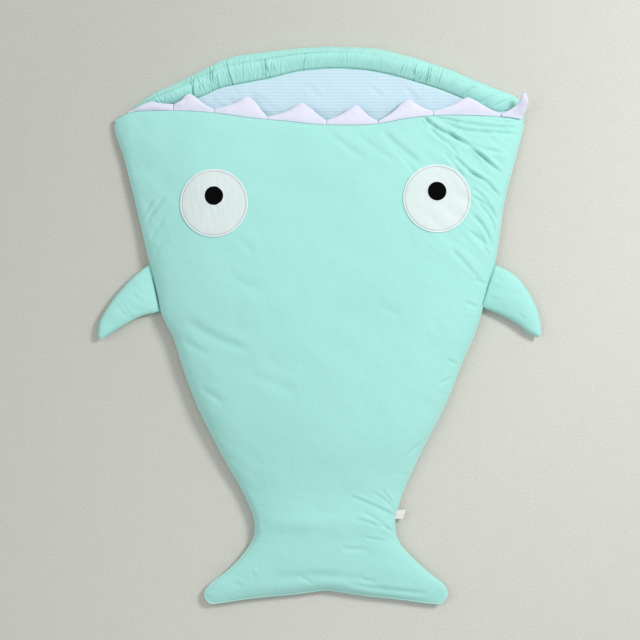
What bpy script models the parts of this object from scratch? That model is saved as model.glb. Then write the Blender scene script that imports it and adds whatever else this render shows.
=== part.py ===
"""A padded baby sleeping bag shaped like a shark, lying flat on its back.

Metres, +Z up. +Y runs from the tail to the open mouth and the hood. The underside is at z = 0.
Every layer of a body is laid out on that body's own grid, so stacked layers never cross.
"""

import bmesh
import bpy
import numpy as np

# Fabric and the clearance left between two layers that touch in the real bag
SKIN = 0.0012
LINING = 0.0010
GAP = 0.0004

# The side seam and what stands at it
SEAM_Z = 0.012
MOUTH_SEAM_Z = 0.005

# The trunk's half width at its seam, by y
TRUNK_Y = (-0.341, -0.313, -0.286, -0.231, -0.177, -0.122, -0.027, 0.110, 0.212, 0.280, 0.3575)
TRUNK_HALF = (0.1176, 0.1228, 0.1364, 0.1611, 0.1918, 0.2148, 0.2515, 0.295, 0.3146, 0.3316, 0.349)

# Columns across the trunk, as shares of the half width. The inner layers stop one column in.
HALF_COLUMNS = (0.18, 0.36, 0.54, 0.70, 0.83, 0.92, 0.97, 1.0)
COLUMNS = np.array([-c for c in reversed(HALF_COLUMNS)] + [0.0] + list(HALF_COLUMNS))

# Rows down the trunk, with the thickness of the front wadding and of the pocket on the centre line
ROWS = np.array(
    (0.3575, 0.3425, 0.300, 0.250, 0.195, 0.140, 0.080, 0.020)
    + (-0.040, -0.100, -0.160, -0.220, -0.260, -0.290, -0.315, -0.3375)
)
FRONT_WADDING = np.array(
    (6.0, 11.5, 13.5, 14.5, 14.5, 14.5, 14.5, 14.5, 14.5, 14.5, 14.5, 14.5, 15.0, 16.5, 18.5, 20.0)
) / 1000
BACK_WADDING = np.array(
    (11.0, 11.0, 12.0, 13.0, 13.0, 13.0, 13.0, 13.0, 13.0, 13.0, 13.0, 13.0, 13.0, 13.5, 14.0, 14.0)
) / 1000
POCKET = np.array(
    (13.0, 14.0, 18.0, 22.0, 25.0, 27.0, 28.0, 28.0, 27.0, 25.0, 21.0, 14.0, 7.0, 0.8, 0.4, 0.4)
) / 1000
LAST_LINED_ROW = 13

# The mouth edge of the front panel dips in the middle
MOUTH_DIP = 0.0235
MOUTH_DIP_HALF = 0.130
MOUTH_DIP_FADE = (0.195, 0.3425)

# The hood above the mouth: an arc, a rim band round it, and the line that it folds on
HOOD_TOP_Y = 0.475
HOOD_RADIUS = 0.5525
HOOD_CENTRE_Y = HOOD_TOP_Y - HOOD_RADIUS
RIM_INNER_RADIUS = 0.5105
FOLD_GAP = 0.002
HOOD_FOLD_Y = 0.3975
HOOD_WADDING_TOP = 0.014
RIM_BASE = 0.0022
RIM_HEIGHT = 0.020
RIM_END_HEIGHT = 0.008
RIM_END_BASE = 0.0068
RIM_WRAP = 0.0015
HOOD_FOLD_Z = RIM_BASE + RIM_HEIGHT + GAP + SKIN + 0.0002
HOOD_SHELL_HALF = 0.2765
HOOD_PAD_HALF = 0.1720
RIM_ANGLES_DEG = (5.25, 10.5, 15.75, 21.0, 24.0, 27.0, 29.5)

# The back of the trunk goes on from the mouth to the fold line: a middle row and its half widths
NECK_Y = 0.377
NECK_SHELL_HALF = (0.2835, 0.3150)
NECK_PAD_HALF = (0.1845, 0.2610)
NECK_EDGE_RISE = 0.0022
NECK_WADDING_LOW = 0.0030

# The tail: rows by the y of their ends, half width and wadding thickness
TAIL_FOLD_Y = -0.3385
TAIL_Y = np.array((-0.3395, -0.360, -0.385, -0.410, -0.435, -0.457, -0.475))
TAIL_HALF = np.array((0.1176, 0.1195, 0.133, 0.157, 0.187, 0.205, 0.1995))
TAIL_WADDING = np.array((34.0, 31.0, 27.5, 24.0, 20.0, 13.0, 0.0)) / 1000
TAIL_NOTCH_Y = -0.451

# The right fin's two edges from the root to the tip; the left fin is its mirror image
FIN_LEADING = ((0.2955, 0.1015), (0.3235, 0.0825), (0.3475, 0.0555), (0.3645, 0.0280))
FIN_LEADING += ((0.3742, 0.0020), (0.3765, -0.0175))
FIN_TRAILING = ((0.2712, 0.0245), (0.3000, 0.0165), (0.3225, 0.0065), (0.3445, -0.0065))
FIN_TRAILING += ((0.3620, -0.0175), (0.3725, -0.0235))
FIN_HINGE = ((0.2690, 0.0245), (0.2934, 0.1015))
FIN_ROWS = np.array((0.0, 0.06, 0.16, 0.30, 0.46, 0.62, 0.78, 0.92, 1.0))
FIN_COLUMNS = np.array((0.0, 0.07, 0.25, 0.5, 0.75, 0.93, 1.0))
FIN_HALF_THICK = 0.012

# Eyes: appliqued discs on the front shell
EYE_CENTRES = {"left": (-0.1777, 0.2043), "right": (0.1978, 0.2121)}
EYE_RADIUS = 0.0572
PUPIL_RISE = 0.0121
PUPIL_RADIUS = 0.0158
EYE_CLEAR = 0.0008
PUPIL_CLEAR = 0.0006

# Each tooth's root along x, its tip, and the height of its root and tip
TEETH = (
    (-0.3400, -0.2620, (-0.2900, 0.3800), 0.0245, 0.0270),
    (-0.2606, -0.1790, (-0.2217, 0.3936), 0.0270, 0.0285),
    (-0.1776, -0.0885, (-0.1236, 0.3893), 0.0300, 0.0265),
    (-0.0871, 0.0112, (-0.0315, 0.3779), 0.0315, 0.0260),
    (0.0126, 0.0990, (0.0629, 0.3740), 0.0315, 0.0260),
    (0.1004, 0.1928, (0.1519, 0.3840), 0.0300, 0.0265),
    (0.1942, 0.3087, (0.2523, 0.3875), 0.0265, 0.0285),
    (0.3101, 0.3445, (0.3475, 0.3940), 0.0225, 0.0360),
)
TOOTH_HALF_THICK = 0.0020
HINGE_CLEAR_Y = 0.0010
HINGE_CLEAR_Z = 0.0006
ROOT_BEYOND_HINGE = 0.0008

LABEL_Y = (-0.334, -0.316)
LABEL_LENGTH = 0.017
LABEL_CLEAR = 0.0008

MATERIALS = {
    "mint_cotton": ((0.40, 0.80, 0.72, 1.0), 0.85),
    "striped_cotton": ((0.58, 0.78, 0.86, 1.0), 0.85),
    "white_cotton": ((0.80, 0.80, 0.90, 1.0), 0.80),
    "eye_cotton": ((0.70, 0.82, 0.80, 1.0), 0.80),
    "black_felt": ((0.01, 0.01, 0.01, 1.0), 0.90),
    "polyester_wadding": ((0.90, 0.90, 0.88, 1.0), 0.95),
    "label_tape": ((0.70, 0.70, 0.66, 1.0), 0.70),
}


def clear_scene():
    for thing in list(bpy.data.objects):
        bpy.data.objects.remove(thing, do_unlink=True)


def make_materials():
    made = {}
    for name, (colour, roughness) in MATERIALS.items():
        material = bpy.data.materials.new(name)
        material.use_nodes = True
        shader = material.node_tree.nodes["Principled BSDF"]
        shader.inputs["Base Color"].default_value = colour
        shader.inputs["Roughness"].default_value = roughness
        made[name] = material
    return made


def slab(plan, low, high):
    """A closed sheet on a grid: plan holds x and y by row and column, low and high its two faces."""
    rows, columns = low.shape
    bm = bmesh.new()
    bmesh.ops.create_grid(bm, x_segments=columns - 1, y_segments=rows - 1, size=0.5)
    bmesh.ops.triangulate(bm, faces=bm.faces[:], quad_method="FIXED")
    bottom = list(bm.verts)
    made = bmesh.ops.extrude_face_region(bm, geom=bm.faces[:])
    top = [piece for piece in made["geom"] if isinstance(piece, bmesh.types.BMVert)]
    for vertices, heights in ((bottom, low), (top, high)):
        for vertex in vertices:
            column = round((vertex.co.x + 0.5) * (columns - 1))
            row = round((vertex.co.y + 0.5) * (rows - 1))
            vertex.co = (*plan[row, column], heights[row, column])
    bmesh.ops.recalc_face_normals(bm, faces=bm.faces[:])
    return bm


def add_piece(bm, name, material, collection, pivot=(0.0, 0.0, 0.0)):
    """The mesh as an object whose origin is on its body's joint axis."""
    bmesh.ops.translate(bm, verts=bm.verts[:], vec=[-value for value in pivot])
    mesh = bpy.data.meshes.new(name)
    bm.to_mesh(mesh)
    bm.free()
    mesh.materials.append(material)
    piece = bpy.data.objects.new(name, mesh)
    piece.location = pivot
    collection.objects.link(piece)
    return piece


def edge_rise(columns):
    """How far the underside has risen toward the side seam, 0 to 1."""
    return np.clip((np.abs(columns) - 0.80) / 0.20, 0.0, 1.0) ** 1.6


def mouth_dip(x):
    return MOUTH_DIP * np.exp(-((x / MOUTH_DIP_HALF) ** 2))


def trunk_grid():
    """Plan of the trunk's rows, and the height of every face of every layer."""
    half = np.interp(ROWS, TRUNK_Y, TRUNK_HALF)
    x = half[:, None] * COLUMNS[None, :]
    fade = np.clip(np.interp(ROWS, MOUTH_DIP_FADE, (0.0, 1.0)), 0.0, 1.0)
    y = ROWS[:, None] - mouth_dip(x) * fade[:, None]
    plan = np.stack((x, y), axis=-1)
    seam = np.interp(ROWS, (0.250, 0.3575), (SEAM_Z, MOUTH_SEAM_Z))
    thin = np.sqrt(1.0 - np.minimum(np.abs(COLUMNS), 0.97) ** 6)
    open_share = (1.0 - np.minimum(np.abs(COLUMNS), 0.97) ** 2) ** 0.8
    lined = np.where(np.arange(len(ROWS)) <= LAST_LINED_ROW, 1.0, 0.0)
    lining = ((LINING + GAP) * lined)[:, None]
    faces = {"back_shell": (seam - SKIN - GAP / 2)[:, None] * edge_rise(COLUMNS)[None, :]}
    faces["back_shell_top"] = faces["back_shell"] + SKIN
    faces["back_wadding"] = faces["back_shell_top"] + GAP
    faces["back_wadding_top"] = faces["back_wadding"] + BACK_WADDING[:, None] * thin[None, :]
    faces["back_lining"] = faces["back_wadding_top"] + GAP
    faces["back_lining_top"] = faces["back_lining"] + LINING
    pocket = POCKET[:, None] * open_share[None, :]
    faces["front_lining"] = faces["back_wadding_top"] + lining + np.maximum(pocket, GAP)
    faces["front_lining_top"] = faces["front_lining"] + LINING
    faces["front_wadding"] = faces["front_lining"] + lining
    faces["front_wadding_top"] = faces["front_wadding"] + FRONT_WADDING[:, None] * thin[None, :]
    faces["front_shell"] = faces["front_wadding_top"] + GAP
    faces["front_shell"][:, (0, -1)] = (seam + GAP / 2)[:, None]
    faces["front_shell_top"] = faces["front_shell"] + SKIN
    return plan, faces


def with_neck(plan, low, high, half_widths, lows, highs):
    """The back layers go on past the mouth to the hood's fold line, in two more rows."""
    neck_y = (HOOD_FOLD_Y - FOLD_GAP / 2, NECK_Y)
    shares = plan[0, :, 0] / plan[0, -1, 0]
    rows = [np.stack((shares * half, np.full(len(shares), y)), axis=-1)
            for half, y in zip(half_widths, neck_y)]
    return (
        np.concatenate((rows, plan)),
        np.concatenate((lows, low)),
        np.concatenate((highs, high)),
    )


def add_trunk(plan, faces, materials, collection):
    rise = edge_rise(COLUMNS)
    neck = np.stack((np.zeros(len(rise)), rise * NECK_EDGE_RISE))
    wide = with_neck(
        plan, faces["back_shell"], faces["back_shell_top"], NECK_SHELL_HALF, neck, neck + SKIN
    )
    add_piece(slab(*wide), "back_shell", materials["mint_cotton"], collection)
    inner = slice(1, -1)
    level = np.ones((2, len(COLUMNS) - 2))
    wadding = with_neck(
        plan[:, inner], faces["back_wadding"][:, inner], faces["back_wadding_top"][:, inner],
        NECK_PAD_HALF, level * NECK_WADDING_LOW, level * HOOD_WADDING_TOP,
    )
    add_piece(slab(*wadding), "back_wadding", materials["polyester_wadding"], collection)
    lined = slice(0, LAST_LINED_ROW + 1)
    under = HOOD_WADDING_TOP + GAP
    lining = with_neck(
        plan[lined, inner], faces["back_lining"][lined, inner],
        faces["back_lining_top"][lined, inner],
        NECK_PAD_HALF, level * under, level * (under + LINING),
    )
    add_piece(slab(*lining), "back_lining", materials["striped_cotton"], collection)
    front = slab(
        plan[lined, inner], faces["front_lining"][lined, inner],
        faces["front_lining_top"][lined, inner],
    )
    add_piece(front, "front_lining", materials["striped_cotton"], collection)
    middle = slab(
        plan[:, inner], faces["front_wadding"][:, inner], faces["front_wadding_top"][:, inner]
    )
    add_piece(middle, "front_wadding", materials["polyester_wadding"], collection)
    outer = slab(plan, faces["front_shell"], faces["front_shell_top"])
    add_piece(outer, "front_shell", materials["mint_cotton"], collection)


def height_on(plan, heights, x, y):
    """The height of a trunk face at one point, from its grid."""
    half = np.interp(y, TRUNK_Y, TRUNK_HALF)
    by_row = np.array([np.interp(x / half, COLUMNS, row) for row in heights])
    return float(np.interp(-y, -ROWS, by_row))


def disc_plan(centre, radius, cells):
    """A square grid pressed into a disc."""
    step = np.linspace(-1.0, 1.0, cells + 1)
    across, along = np.meshgrid(step, step)
    x = centre[0] + radius * across * np.sqrt(1.0 - along**2 / 2.0)
    y = centre[1] + radius * along * np.sqrt(1.0 - across**2 / 2.0)
    return np.stack((x, y), axis=-1)


def add_eyes(plan, faces, materials, collection):
    top = faces["front_shell_top"]
    for side, centre in EYE_CENTRES.items():
        above = EYE_CLEAR
        pupil_centre = (centre[0], centre[1] + PUPIL_RISE)
        discs = (
            ("eye_white", centre, EYE_RADIUS, 8, "eye_cotton"),
            ("pupil", pupil_centre, PUPIL_RADIUS, 4, "black_felt"),
        )
        for kind, middle, radius, cells, cloth in discs:
            disc = disc_plan(middle, radius, cells)
            rest = np.array([[height_on(plan, top, x, y) for x, y in row] for row in disc])
            sheet = slab(disc, rest + above, rest + above + LINING)
            add_piece(sheet, f"{kind}_{side}", materials[cloth], collection)
            above += LINING + PUPIL_CLEAR


def rim_dome(share):
    return 0.35 + 0.65 * np.sqrt(np.clip(1.0 - (2.0 * share - 1.0) ** 2, 0.0, 1.0))


def add_rim(name_end, inner, outer, base, height, shares, materials, collection, pivot):
    """Filling and casing between two edge lines; shares are where each line's point lies in the band."""
    across = np.array((0.0, 0.14, 0.36, 0.64, 0.86, 1.0))
    plan = inner[:, None, :] + (outer - inner)[:, None, :] * across[None, :, None]
    share = shares[:, None] + (1.0 - shares)[:, None] * across[None, :]
    low = np.repeat(base[:, None], len(across), axis=1)
    high = low + height[:, None] * rim_dome(share)
    filling = slab(plan, low, high)
    add_piece(filling, f"rim_filling{name_end}", materials["polyester_wadding"], collection, pivot)
    outward = outer - inner
    outward /= np.linalg.norm(outward, axis=1)[:, None]
    outside = outer + outward * RIM_WRAP
    plan = np.concatenate((plan, outside[:, None, :]), axis=1)
    low = np.concatenate((high + GAP, base[:, None]), axis=1)
    casing = slab(plan, low, low + SKIN)
    add_piece(casing, f"rim_casing{name_end}", materials["mint_cotton"], collection, pivot)


def add_rim_ends(materials, collection):
    """The rim below the fold line, narrowing into the two corners of the mouth."""
    along = np.linspace(0.0, 1.0, 6)
    fold_y = HOOD_FOLD_Y - FOLD_GAP / 2
    for side, name in ((-1.0, "_left"), (1.0, "_right")):
        inner_x = np.interp(along, (0.0, 1.0), (0.3370, 0.1870))
        outer_x = np.interp(along, (0.0, 0.5, 1.0), (0.3450, 0.3120, 0.2810))
        inner_y = np.interp(along, (0.0, 1.0), (0.3595, fold_y))
        outer_y = np.interp(along, (0.0, 0.5, 1.0), (0.3595, 0.3775, fold_y))
        inner = np.stack((inner_x * side, inner_y), axis=-1)
        outer = np.stack((outer_x * side, outer_y), axis=-1)
        base = np.interp(along, (0.0, 1.0), (RIM_END_BASE, RIM_BASE))
        height = np.interp(along, (0.0, 1.0), (RIM_END_HEIGHT, RIM_HEIGHT))
        shares = np.zeros(len(along))
        add_rim(name, inner, outer, base, height, shares, materials, collection, (0.0, 0.0, 0.0))


def add_hood(materials, collection):
    pivot = (0.0, HOOD_FOLD_Y, HOOD_FOLD_Z)
    fold_y = HOOD_FOLD_Y + FOLD_GAP / 2
    up = np.array((0.0, 0.5, 1.0))
    pad_radius = RIM_INNER_RADIUS - 0.001
    layers = (
        ("hood_shell", HOOD_SHELL_HALF, HOOD_RADIUS, 0.0, SKIN, "mint_cotton"),
        ("hood_wadding", HOOD_PAD_HALF, pad_radius, SKIN + GAP, HOOD_WADDING_TOP,
         "polyester_wadding"),
        ("hood_lining", HOOD_PAD_HALF, pad_radius, HOOD_WADDING_TOP + GAP,
         HOOD_WADDING_TOP + GAP + LINING, "striped_cotton"),
    )
    for name, half, radius, low, high, cloth in layers:
        x = np.linspace(-half, half, 17)
        arc = HOOD_CENTRE_Y + np.sqrt(radius**2 - x**2)
        y = fold_y + (arc - fold_y)[None, :] * up[:, None]
        plan = np.stack((np.repeat(x[None, :], len(up), axis=0), y), axis=-1)
        level = np.ones(y.shape)
        piece = slab(plan, level * low, level * high)
        add_piece(piece, name, materials[cloth], collection, pivot)
    side = np.radians(RIM_ANGLES_DEG)
    angles = np.concatenate((-side[::-1], (0.0,), side))
    outer_radius = HOOD_RADIUS - RIM_WRAP
    inner_radius = np.maximum(RIM_INNER_RADIUS, (fold_y - HOOD_CENTRE_Y) / np.cos(angles))
    direction = np.stack((np.sin(angles), np.cos(angles)), axis=-1)
    middle = np.array((0.0, HOOD_CENTRE_Y))
    inner = middle + direction * inner_radius[:, None]
    outer = middle + direction * outer_radius
    shares = (inner_radius - RIM_INNER_RADIUS) / (outer_radius - RIM_INNER_RADIUS)
    base = np.full(len(angles), RIM_BASE)
    height = np.full(len(angles), RIM_HEIGHT)
    add_rim("", inner, outer, base, height, shares, materials, collection, pivot)


def add_tail(trunk_faces, materials, collection):
    columns = COLUMNS
    x = TAIL_HALF[:, None] * columns[None, :]
    tip = TAIL_HALF[-1]
    notch = (TAIL_NOTCH_Y - TAIL_Y[-1]) * (1.0 - (np.abs(x) / tip).clip(0.0, 1.0) ** 0.8)
    down = (TAIL_Y - TAIL_Y[0]) / (TAIL_Y[-1] - TAIL_Y[0])
    y = TAIL_Y[:, None] + notch * down[:, None]
    plan = np.stack((x, y), axis=-1)
    seam_low = SEAM_Z - SKIN - GAP / 2
    rise = np.repeat(edge_rise(columns)[None, :], len(TAIL_Y), axis=0)
    rise[-2] = np.maximum(rise[-2], 0.35)
    rise[-1] = 1.0
    back = seam_low * rise
    thin = np.sqrt(1.0 - np.minimum(np.abs(columns), 0.97) ** 4)
    filling = back + SKIN + GAP
    filling_top = filling + TAIL_WADDING[:, None] * thin[None, :]
    front = filling_top + GAP
    front[:, (0, -1)] = SEAM_Z + GAP / 2
    front[-1] = SEAM_Z + GAP / 2
    pivot = (0.0, TAIL_FOLD_Y, float(trunk_faces["front_shell_top"][-1].max()))
    mint = materials["mint_cotton"]
    add_piece(slab(plan, back, back + SKIN), "tail_back_shell", mint, collection, pivot)
    add_piece(slab(plan, front, front + SKIN), "tail_front_shell", mint, collection, pivot)
    inner = (slice(0, -1), slice(1, -1))
    middle = slab(plan[inner], filling[inner], filling_top[inner])
    add_piece(middle, "tail_wadding", materials["polyester_wadding"], collection, pivot)


def add_fins(materials, collection):
    stations = np.linspace(0.0, 1.0, len(FIN_LEADING))
    edges = []
    for points in (FIN_LEADING, FIN_TRAILING):
        points = np.array(points)
        edges.append(np.stack([np.interp(FIN_ROWS, stations, points[:, k]) for k in (0, 1)], axis=-1))
    half = FIN_HALF_THICK * np.interp(
        FIN_ROWS, (0.0, 0.06, 0.16, 0.30, 0.62, 0.92, 1.0), (0.0, 0.30, 0.85, 1.0, 0.85, 0.45, 0.0)
    )
    dome = np.sqrt(np.clip(1.0 - (2.0 * FIN_COLUMNS - 1.0) ** 2, 0.0, 1.0))
    swell = half[:, None] * dome[None, :]
    inner = (slice(1, -1), slice(1, -1))
    for side, name in ((-1.0, "left"), (1.0, "right")):
        lead, trail = (edge * (side, 1.0) for edge in edges)
        plan = lead[:, None, :] + (trail - lead)[:, None, :] * FIN_COLUMNS[None, :, None]
        root = [(a + b) / 2 for a, b in zip(*FIN_HINGE)]
        pivot = (root[0] * side, root[1], SEAM_Z)
        upper = SEAM_Z + GAP / 2 + np.maximum(swell - SKIN, 0.0)
        lower = SEAM_Z - GAP / 2 - np.maximum(swell - SKIN, 0.0)
        mint = materials["mint_cotton"]
        add_piece(slab(plan, upper, upper + SKIN), f"fin_{name}_upper", mint, collection, pivot)
        add_piece(slab(plan, lower - SKIN, lower), f"fin_{name}_lower", mint, collection, pivot)
        core = slab(plan[inner], lower[inner] + GAP, upper[inner] - GAP)
        add_piece(core, f"fin_{name}_filling", materials["polyester_wadding"], collection, pivot)


def tooth_hinge(plan, faces, left, right):
    """The two ends of a tooth's hinge line, just outside the mouth edge and level with its top."""
    top = faces["front_shell_top"][0]
    half = TRUNK_HALF[-1]
    xs = np.linspace(left, right, 9)
    ends_y = ROWS[0] - mouth_dip(xs)
    lift = np.interp(xs / half, COLUMNS, top)
    slope_y = (ends_y[-1] - ends_y[0]) / (right - left)
    slope_z = (lift[-1] - lift[0]) / (right - left)
    y = ends_y[0] + (ends_y - ends_y[0] - slope_y * (xs - left)).max()
    z = lift[0] + (lift - lift[0] - slope_z * (xs - left)).max()
    y += HINGE_CLEAR_Y
    z += HINGE_CLEAR_Z
    start = (left, y, z)
    end = (right, y + slope_y * (right - left), z + slope_z * (right - left))
    return np.array(start), np.array(end)


def add_teeth(plan, faces, materials, collection):
    along = np.array((0.0, 0.30, 0.60, 0.85, 1.0))
    width = np.array((1.0, 0.72, 0.42, 0.20, 0.08))
    across = np.array((-1.0, -0.6, 0.0, 0.6, 1.0))
    thick = np.array((0.35, 0.85, 1.0, 0.85, 0.35)) * TOOTH_HALF_THICK
    for number, (left, right, tip, root_z, tip_z) in enumerate(TEETH, start=1):
        start, end = tooth_hinge(plan, faces, left, right)
        middle = (start + end) / 2
        span = (end - start) / 2
        root_y = middle[1] + ROOT_BEYOND_HINGE
        spread = width[:, None] * across[None, :]
        line_x = middle[0] + (tip[0] - middle[0]) * along[:, None] + span[0] * spread
        line_y = root_y + (tip[1] - root_y) * along[:, None] + span[1] * spread
        tilt = span[2] * (1.0 - along)[:, None] * spread
        mid_z = root_z + (tip_z - root_z) * along[:, None] + tilt
        grid = np.stack((line_x, line_y), axis=-1)
        piece = slab(grid, mid_z - thick[None, :], mid_z + thick[None, :])
        name = f"tooth_{number}"
        add_piece(piece, name, materials["white_cotton"], collection, tuple(middle))


def add_label(materials, collection):
    """A blank folded tape in the side seam above the tail."""
    low, high = LABEL_Y
    ys = np.array((low, high))
    edge = np.interp(ys, TRUNK_Y, TRUNK_HALF) + LABEL_CLEAR
    x = np.stack((edge, edge + LABEL_LENGTH), axis=-1)
    plan = np.stack((x, np.repeat(ys[:, None], 2, axis=1)), axis=-1)
    level = np.ones((2, 2))
    piece = slab(plan, level * (SEAM_Z - LINING / 2), level * (SEAM_Z + LINING / 2))
    add_piece(piece, "care_label", materials["label_tape"], collection)


def main():
    clear_scene()
    materials = make_materials()
    collection = bpy.data.collections.new("shark_sleeping_bag")
    bpy.context.scene.collection.children.link(collection)
    plan, faces = trunk_grid()
    add_trunk(plan, faces, materials, collection)
    add_eyes(plan, faces, materials, collection)
    add_rim_ends(materials, collection)
    add_hood(materials, collection)
    add_tail(faces, materials, collection)
    add_fins(materials, collection)
    add_teeth(plan, faces, materials, collection)
    add_label(materials, collection)


main()
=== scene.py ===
"""The looks of a padded baby sleeping bag shaped like a shark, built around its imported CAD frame.

Metres, +Z up, +Y from the tail to the hood, as in the frame. Every piece is made from formulas,
short outlines and seeded noise.
"""

import math

import bmesh
import bpy
import numpy as np
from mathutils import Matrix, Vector


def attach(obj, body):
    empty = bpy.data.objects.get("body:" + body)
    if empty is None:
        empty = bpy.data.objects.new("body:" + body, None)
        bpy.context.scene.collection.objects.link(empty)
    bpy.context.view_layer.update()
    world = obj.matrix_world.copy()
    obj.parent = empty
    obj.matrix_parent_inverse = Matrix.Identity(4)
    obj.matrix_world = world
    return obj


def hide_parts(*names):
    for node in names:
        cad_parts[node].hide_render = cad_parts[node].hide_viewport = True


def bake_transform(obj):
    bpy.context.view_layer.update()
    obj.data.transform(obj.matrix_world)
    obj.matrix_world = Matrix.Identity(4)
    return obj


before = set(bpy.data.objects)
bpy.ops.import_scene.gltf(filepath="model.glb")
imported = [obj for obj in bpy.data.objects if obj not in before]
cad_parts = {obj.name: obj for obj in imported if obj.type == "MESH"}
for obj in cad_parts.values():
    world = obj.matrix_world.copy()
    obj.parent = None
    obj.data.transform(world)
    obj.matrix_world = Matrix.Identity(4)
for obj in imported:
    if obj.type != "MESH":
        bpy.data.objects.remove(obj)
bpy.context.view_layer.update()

# ---------------- numbers shared by the pieces

SEAM_Z = 0.012
MOUTH_SEAM_Z = 0.005
SKIN = 0.0012
GAP = 0.0004
LINING = 0.0010
LAYER = LINING + GAP
LIP = 0.0003  # half the gap between the front and the back along their seam
HEM_ROUND = 0.0075  # how far in from the mouth's edge the front panel is rounded
FOOT_ROUND = 0.022
SEAM_BAND = 0.002  # share of the half width over which a panel closes on its seam

MOUTH_Y = 0.3575
MOUTH_FULL_Y = 0.3425  # down to here the panels follow the whole dip of the mouth
DIP_END_Y = 0.195
TAIL_END_Y = -0.4755
NECK_Y = -0.345
BACK_JOIN_Y = -0.030
HOOD_ROW = 0.475  # the last row of the back, drawn out to the hood's edge

# The camera stands above the bag, this far over the seam, and sees this width there
CAMERA_X = 0.00085
CAMERA_Y = 0.0074
CAMERA_HIGH = 3.0
VIEW_WIDTH = 1.091
SENSOR = 36.0

# The two lines across the single panels, between two bodies: bodies, start and end of the bend. The
# script only passes them on and does not bend the panels along them.
TAIL_BEND = ("trunk", "tail", (0, -0.322, 0), (0, -0.356, 0))
HOOD_BEND = ("trunk", "hood", (0, 0.384, 0), (0, 0.412, 0))

UP = np.array((0.0, 0.0, 1.0))

# How far the mouth's edge lies above or below its even curve: x in metres, offset in mm
HEM_X = (-0.352, -0.338, -0.320, -0.290, -0.246, -0.180, -0.1185, -0.083, -0.0537, -0.020)
HEM_X += (0.0094, 0.035, 0.060, 0.0975, 0.150, 0.1927, 0.2736, 0.310, 0.347)
HEM_OFF = (-10.8, -3.4, 3.0, 5.2, 5.6, 4.2, 2.6, 4.4, 6.0, 5.2)
HEM_OFF += (4.0, 1.8, -1.2, -4.4, -2.2, -1.2, -3.2, -4.8, -9.0)

# The side seam: y, half width and how far the middle has moved to the right
SIDE = np.array((
    (-0.4755, 0.1965, 0.0098), (-0.4660, 0.2040, 0.0106), (-0.4570, 0.2058, 0.0112),
    (-0.4495, 0.2022, 0.0120), (-0.4222, 0.1695, 0.0128), (-0.3950, 0.1416, 0.0116),
    (-0.3677, 0.1219, 0.0098), (-0.3404, 0.1177, 0.0093), (-0.2995, 0.1287, 0.0068),
    (-0.2313, 0.1622, 0.0026), (-0.1358, 0.2103, 0.0026), (-0.0403, 0.2468, 0.0052),
    (-0.0267, 0.2520, 0.0064), (0.0200, 0.2712, 0.0032), (0.0450, 0.2770, 0.0038),
    (0.1097, 0.2936, 0.0044), (0.2120, 0.3134, 0.0003), (0.2802, 0.3304, 0.0),
    (0.3416, 0.3470, -0.0008), (0.3575, 0.3500, 0.0),
))

# Heights down the middle: y, top of the front panel, back wadding, pocket
HEIGHTS = np.array((
    (-0.4755, 0.0200, 0.0040, 0.0004), (-0.4570, 0.0255, 0.0090, 0.0004),
    (-0.4350, 0.0290, 0.0120, 0.0004), (-0.4100, 0.0310, 0.0135, 0.0004),
    (-0.3850, 0.0325, 0.0140, 0.0004), (-0.3600, 0.0345, 0.0140, 0.0004),
    (-0.3375, 0.0376, 0.0140, 0.0004), (-0.3150, 0.0361, 0.0140, 0.0004),
    (-0.2900, 0.0368, 0.0135, 0.0008), (-0.2600, 0.0410, 0.0130, 0.0070),
    (-0.2200, 0.0475, 0.0130, 0.0140), (-0.1600, 0.0545, 0.0130, 0.0210),
    (-0.1000, 0.0585, 0.0130, 0.0250), (-0.0400, 0.0605, 0.0130, 0.0270),
    (0.0200, 0.0615, 0.0130, 0.0280), (0.0800, 0.0615, 0.0130, 0.0280),
    (0.1400, 0.0605, 0.0130, 0.0270), (0.1950, 0.0585, 0.0130, 0.0250),
    (0.2500, 0.0555, 0.0130, 0.0220), (0.3000, 0.0495, 0.0120, 0.0180),
    (0.3425, 0.0425, 0.0110, 0.0140), (0.3575, 0.0372, 0.0110, 0.0130),
))

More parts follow.
